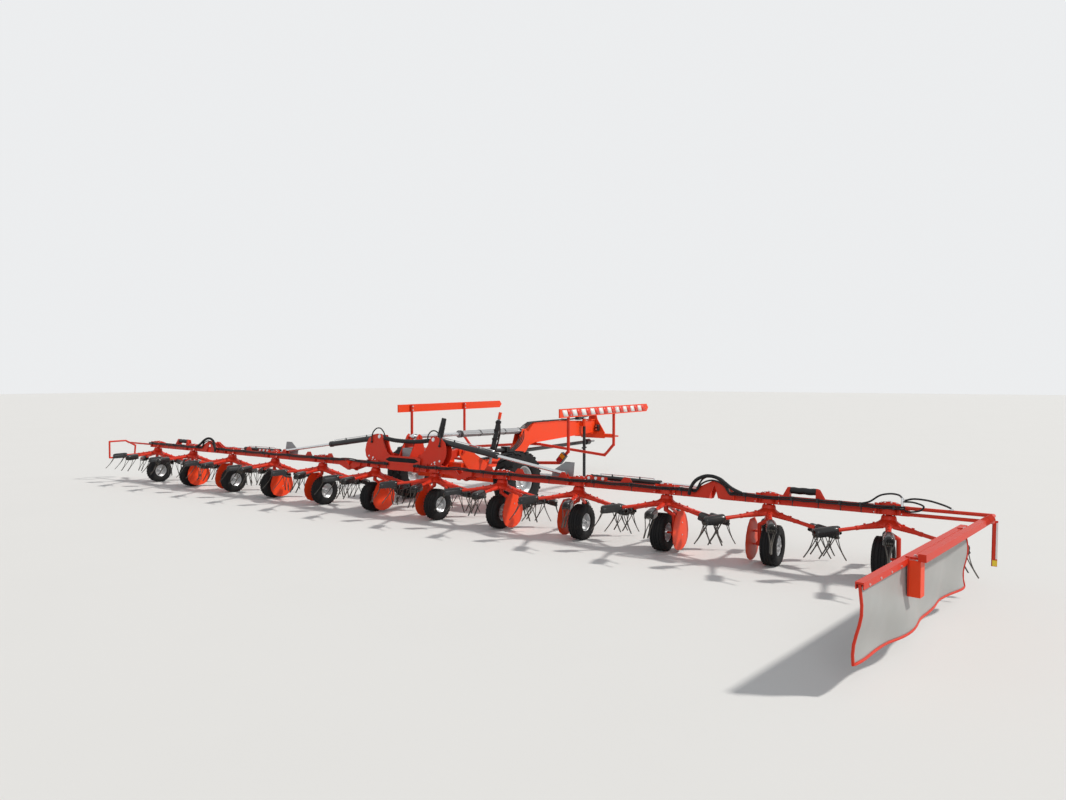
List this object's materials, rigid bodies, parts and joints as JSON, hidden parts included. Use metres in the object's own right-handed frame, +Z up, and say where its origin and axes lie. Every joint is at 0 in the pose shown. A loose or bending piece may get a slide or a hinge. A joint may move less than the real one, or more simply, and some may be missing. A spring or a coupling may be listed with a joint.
{
  "type": "trailed rotary hay tedder",
  "caption": "Trailed rotary hay tedder: a folding row of tined rotors on small wheels, a tilting frame on a two-wheeled carriage, and a canvas deflector at one end.",
  "frame": {"origin": "middle of the footprint, on the ground", "axes": "+X along the row of rotors to the end with the deflector, +Y the direction of travel, +Z up"},
  "size_m": [13.7068, 8.0385, 1.405],
  "materials": {
    "orange_paint": "satin",
    "red_paint": "satin",
    "black_paint": "gloss",
    "steel": "satin",
    "cast": "rough",
    "tyre": "matte",
    "rim": "satin",
    "hose": "matte",
    "canvas": "matte"
  },
  "bodies": {
    "carriage": {"drawbar": "orange_paint", "carriage_frame": "orange_paint", "guard_frame": "red_paint", "guard_boards": "orange_paint", "drive_shaft": "black_paint"},
    "headstock": {"headstock": "orange_paint"},
    "parking_stand": {"parking_stand": "black_paint"},
    "carriage_wheel_l": {"carriage_tyre_l": "tyre", "carriage_rim_l": "rim"},
    "carriage_wheel_r": {"carriage_tyre_r": "tyre", "carriage_rim_r": "rim"},
    "centre": {"centre_frame": "red_paint", "gearbox": "cast", "hoses_centre": "hose"},
    "tilt_barrel": {"tilt_barrel": "black_paint"},
    "tilt_rod": {"tilt_rod": "steel"},
    "inner_wing_l": {"inner_wing_l": "red_paint", "hoses_inner_l": "hose"},
    "outer_wing_l": {"outer_wing_l": "red_paint", "hoses_outer_l": "hose"},
    "lift_barrel_l": {"lift_barrel_l": "black_paint"},
    "lift_rod_l": {"lift_rod_l": "steel"},
    "fold_barrel_l": {"fold_barrel_l": "black_paint"},
    "fold_rod_l": {"fold_rod_l": "steel"},
    "inner_wing_r": {"inner_wing_r": "red_paint", "hoses_inner_r": "hose"},
    "outer_wing_r": {"outer_wing_r": "red_paint", "hoses_outer_r": "hose"},
    "lift_barrel_r": {"lift_barrel_r": "black_paint"},
    "lift_rod_r": {"lift_rod_r": "steel"},
    "fold_barrel_r": {"fold_barrel_r": "black_paint"},
    "fold_rod_r": {"fold_rod_r": "steel"},
    "deflector": {"deflector_arm": "red_paint", "deflector_canvas": "canvas"},
    "rotor_1": {"rotor_1": "red_paint"},
    "wheel_1": {"wheel_1": "tyre"},
    "rotor_2": {"rotor_2": "red_paint"},
    "wheel_2": {"wheel_2": "tyre"},
    "rotor_3": {"rotor_3": "red_paint"},
    "wheel_3": {"wheel_3": "tyre"},
    "rotor_4": {"rotor_4": "red_paint"},
    "wheel_4": {"wheel_4": "tyre"},
    "rotor_5": {"rotor_5": "red_paint"},
    "wheel_5": {"wheel_5": "tyre"},
    "rotor_6": {"rotor_6": "red_paint"},
    "wheel_6": {"wheel_6": "tyre"},
    "rotor_7": {"rotor_7": "red_paint"},
    "wheel_7": {"wheel_7": "tyre"},
    "rotor_8": {"rotor_8": "red_paint"},
    "wheel_8": {"wheel_8": "tyre"},
    "rotor_9": {"rotor_9": "red_paint"},
    "wheel_9": {"wheel_9": "tyre"},
    "rotor_10": {"rotor_10": "red_paint"},
    "wheel_10": {"wheel_10": "tyre"},
    "rotor_11": {"rotor_11": "red_paint"},
    "wheel_11": {"wheel_11": "tyre"},
    "rotor_12": {"rotor_12": "red_paint"},
    "wheel_12": {"wheel_12": "tyre"}
  },
  "joints": [
    {"name": "tilt", "type": "hinge", "parent": "carriage", "child": "centre", "pos_m": [0.0315, -0.27474, 0.8], "axis": [-1, 0, 0], "range_deg": [0, 80]},
    {"name": "tilt_barrel_swing", "type": "hinge", "parent": "carriage", "child": "tilt_barrel", "pos_m": [0.0315, 1.57526, 0.98], "axis": [-1, 0, 0], "range_deg": [0, 14.84]},
    {"name": "tilt_rod_slide", "type": "slide", "parent": "tilt_barrel", "child": "tilt_rod", "axis": [0, 0.9997, -0.024], "range_m": [0, 0.70326]},
    {"name": "inner_fold_r", "type": "hinge", "parent": "centre", "child": "inner_wing_r", "pos_m": [1.0315, -1.11692, 0.56432], "axis": [0, -0.9848, 0.1736], "range_deg": [0, 90]},
    {"name": "lift_barrel_swing_r", "type": "hinge", "parent": "centre", "child": "lift_barrel_r", "pos_m": [0.5215, -1.03618, 1.02225], "axis": [0, -0.9848, 0.1736], "range_deg": [0, 80.11]},
    {"name": "lift_rod_slide_r", "type": "slide", "parent": "lift_barrel_r", "child": "lift_rod_r", "axis": [-0.9892, 0.0255, 0.1444], "range_m": [0, 0.94212]},
    {"name": "outer_fold_r", "type": "hinge", "parent": "inner_wing_r", "child": "outer_wing_r", "pos_m": [4.3715, -1.08306, 0.75635], "axis": [0, -0.9848, 0.1736], "range_deg": [0, 180]},
    {"name": "fold_barrel_swing_r", "type": "hinge", "parent": "inner_wing_r", "child": "fold_barrel_r", "pos_m": [2.8315, -0.96505, 0.70001], "axis": [0, -0.9848, 0.1736], "range_deg": [0, 3.55]},
    {"name": "fold_rod_slide_r", "type": "slide", "parent": "fold_barrel_r", "child": "fold_rod_r", "axis": [0.9999, -0.0018, -0.0104], "range_m": [0, 0.2426]},
    {"name": "inner_fold_l", "type": "hinge", "parent": "centre", "child": "inner_wing_l", "pos_m": [-0.9685, -1.11692, 0.56432], "axis": [0, 0.9848, -0.1736], "range_deg": [0, 90]},
    {"name": "lift_barrel_swing_l", "type": "hinge", "parent": "centre", "child": "lift_barrel_l", "pos_m": [-0.4585, -1.03618, 1.02225], "axis": [0, 0.9848, -0.1736], "range_deg": [0, 80.11]},
    {"name": "lift_rod_slide_l", "type": "slide", "parent": "lift_barrel_l", "child": "lift_rod_l", "axis": [0.9892, 0.0255, 0.1444], "range_m": [0, 0.94212]},
    {"name": "outer_fold_l", "type": "hinge", "parent": "inner_wing_l", "child": "outer_wing_l", "pos_m": [-4.3085, -1.08306, 0.75635], "axis": [0, 0.9848, -0.1736], "range_deg": [0, 180]},
    {"name": "fold_barrel_swing_l", "type": "hinge", "parent": "inner_wing_l", "child": "fold_barrel_l", "pos_m": [-2.7685, -0.96505, 0.70001], "axis": [0, 0.9848, -0.1736], "range_deg": [0, 3.55]},
    {"name": "fold_rod_slide_l", "type": "slide", "parent": "fold_barrel_l", "child": "fold_rod_l", "axis": [-0.9999, -0.0018, -0.0104], "range_m": [0, 0.2426]},
    {"name": "deflector_stow", "type": "hinge", "parent": "outer_wing_r", "child": "deflector", "pos_m": [6.7715, -1.62474, 0.69], "axis": [-0.6836, -0.5591, -0.4692], "range_deg": [0, 120.32]},
    {"name": "headstock_swivel", "type": "hinge", "parent": "carriage", "child": "headstock", "pos_m": [0.0315, 3.83326, 0.9], "axis": [0, 0, 1], "range_deg": [-50, 50]},
    {"name": "stand_slide", "type": "slide", "parent": "carriage", "child": "parking_stand", "axis": [0, 0, 1], "range_m": [0, 0.35]},
    {"name": "carriage_wheel_spin_r", "type": "hinge", "parent": "carriage", "child": "carriage_wheel_r", "pos_m": [1.0315, 0.07526, 0.41], "axis": [1, 0, 0], "continuous": true},
    {"name": "carriage_wheel_spin_l", "type": "hinge", "parent": "carriage", "child": "carriage_wheel_l", "pos_m": [-0.9685, 0.07526, 0.41], "axis": [1, 0, 0], "continuous": true},
    {"name": "rotor_spin_1", "type": "hinge", "parent": "outer_wing_l", "child": "rotor_1", "pos_m": [-5.936, -1.12474, 0.52], "axis": [0, 0.1736, 0.9848], "continuous": true},
    {"name": "wheel_spin_1", "type": "hinge", "parent": "outer_wing_l", "child": "wheel_1", "pos_m": [-5.896, -1.12474, 0.2], "axis": [1, 0, 0], "continuous": true},
    {"name": "rotor_spin_2", "type": "hinge", "parent": "outer_wing_l", "child": "rotor_2", "pos_m": [-4.851, -1.12474, 0.52], "axis": [0, 0.1736, 0.9848], "continuous": true},
    {"name": "wheel_spin_2", "type": "hinge", "parent": "outer_wing_l", "child": "wheel_2", "pos_m": [-4.891, -1.12474, 0.2], "axis": [1, 0, 0], "continuous": true},
    {"name": "rotor_spin_3", "type": "hinge", "parent": "inner_wing_l", "child": "rotor_3", "pos_m": [-3.766, -1.12474, 0.52], "axis": [0, 0.1736, 0.9848], "continuous": true},
    {"name": "wheel_spin_3", "type": "hinge", "parent": "inner_wing_l", "child": "wheel_3", "pos_m": [-3.726, -1.12474, 0.2], "axis": [1, 0, 0], "continuous": true},
    {"name": "rotor_spin_4", "type": "hinge", "parent": "inner_wing_l", "child": "rotor_4", "pos_m": [-2.681, -1.12474, 0.52], "axis": [0, 0.1736, 0.9848], "continuous": true},
    {"name": "wheel_spin_4", "type": "hinge", "parent": "inner_wing_l", "child": "wheel_4", "pos_m": [-2.721, -1.12474, 0.2], "axis": [1, 0, 0], "continuous": true},
    {"name": "rotor_spin_5", "type": "hinge", "parent": "inner_wing_l", "child": "rotor_5", "pos_m": [-1.596, -1.12474, 0.52], "axis": [0, 0.1736, 0.9848], "continuous": true},
    {"name": "wheel_spin_5", "type": "hinge", "parent": "inner_wing_l", "child": "wheel_5", "pos_m": [-1.556, -1.12474, 0.2], "axis": [1, 0, 0], "continuous": true},
    {"name": "rotor_spin_6", "type": "hinge", "parent": "centre", "child": "rotor_6", "pos_m": [-0.511, -1.12474, 0.52], "axis": [0, 0.1736, 0.9848], "continuous": true},
    {"name": "wheel_spin_6", "type": "hinge", "parent": "centre", "child": "wheel_6", "pos_m": [-0.551, -1.12474, 0.2], "axis": [1, 0, 0], "continuous": true},
    {"name": "rotor_spin_7", "type": "hinge", "parent": "centre", "child": "rotor_7", "pos_m": [0.574, -1.12474, 0.52], "axis": [0, 0.1736, 0.9848], "continuous": true},
    {"name": "wheel_spin_7", "type": "hinge", "parent": "centre", "child": "wheel_7", "pos_m": [0.614, -1.12474, 0.2], "axis": [1, 0, 0], "continuous": true},
    {"name": "rotor_spin_8", "type": "hinge", "parent": "inner_wing_r", "child": "rotor_8", "pos_m": [1.659, -1.12474, 0.52], "axis": [0, 0.1736, 0.9848], "continuous": true},
    {"name": "wheel_spin_8", "type": "hinge", "parent": "inner_wing_r", "child": "wheel_8", "pos_m": [1.619, -1.12474, 0.2], "axis": [1, 0, 0], "continuous": true},
    {"name": "rotor_spin_9", "type": "hinge", "parent": "inner_wing_r", "child": "rotor_9", "pos_m": [2.744, -1.12474, 0.52], "axis": [0, 0.1736, 0.9848], "continuous": true},
    {"name": "wheel_spin_9", "type": "hinge", "parent": "inner_wing_r", "child": "wheel_9", "pos_m": [2.784, -1.12474, 0.2], "axis": [1, 0, 0], "continuous": true},
    {"name": "rotor_spin_10", "type": "hinge", "parent": "inner_wing_r", "child": "rotor_10", "pos_m": [3.829, -1.12474, 0.52], "axis": [0, 0.1736, 0.9848], "continuous": true},
    {"name": "wheel_spin_10", "type": "hinge", "parent": "inner_wing_r", "child": "wheel_10", "pos_m": [3.789, -1.12474, 0.2], "axis": [1, 0, 0], "continuous": true},
    {"name": "rotor_spin_11", "type": "hinge", "parent": "outer_wing_r", "child": "rotor_11", "pos_m": [4.914, -1.12474, 0.52], "axis": [0, 0.1736, 0.9848], "continuous": true},
    {"name": "wheel_spin_11", "type": "hinge", "parent": "outer_wing_r", "child": "wheel_11", "pos_m": [4.954, -1.12474, 0.2], "axis": [1, 0, 0], "continuous": true},
    {"name": "rotor_spin_12", "type": "hinge", "parent": "outer_wing_r", "child": "rotor_12", "pos_m": [5.999, -1.12474, 0.52], "axis": [0, 0.1736, 0.9848], "continuous": true},
    {"name": "wheel_spin_12", "type": "hinge", "parent": "outer_wing_r", "child": "wheel_12", "pos_m": [5.959, -1.12474, 0.2], "axis": [1, 0, 0], "continuous": true}
  ],
  "couplings": [
    {"joint": "tilt_barrel_swing", "follows": "tilt", "ratio": 0.18539},
    {"joint": "tilt_rod_slide", "follows": "tilt", "m_per_rad": 0.50331},
    {"joint": "lift_barrel_swing_r", "follows": "inner_fold_r", "ratio": 0.88998},
    {"joint": "lift_rod_slide_r", "follows": "inner_fold_r", "m_per_rad": 0.59945},
    {"joint": "fold_barrel_swing_r", "follows": "outer_fold_r", "ratio": 0.019647},
    {"joint": "fold_rod_slide_r", "follows": "outer_fold_r", "m_per_rad": 0.077061},
    {"joint": "lift_barrel_swing_l", "follows": "inner_fold_l", "ratio": 0.88998},
    {"joint": "lift_rod_slide_l", "follows": "inner_fold_l", "m_per_rad": 0.59945},
    {"joint": "fold_barrel_swing_l", "follows": "outer_fold_l", "ratio": 0.019647},
    {"joint": "fold_rod_slide_l", "follows": "outer_fold_l", "m_per_rad": 0.077061},
    {"joint": "rotor_spin_1", "follows": "rotor_spin_7", "ratio": 1},
    {"joint": "rotor_spin_2", "follows": "rotor_spin_7", "ratio": -1},
    {"joint": "rotor_spin_3", "follows": "rotor_spin_7", "ratio": 1},
    {"joint": "rotor_spin_4", "follows": "rotor_spin_7", "ratio": -1},
    {"joint": "rotor_spin_5", "follows": "rotor_spin_7", "ratio": 1},
    {"joint": "rotor_spin_6", "follows": "rotor_spin_7", "ratio": -1},
    {"joint": "rotor_spin_8", "follows": "rotor_spin_7", "ratio": -1},
    {"joint": "rotor_spin_9", "follows": "rotor_spin_7", "ratio": 1},
    {"joint": "rotor_spin_10", "follows": "rotor_spin_7", "ratio": -1},
    {"joint": "rotor_spin_11", "follows": "rotor_spin_7", "ratio": 1},
    {"joint": "rotor_spin_12", "follows": "rotor_spin_7", "ratio": -1}
  ]
}
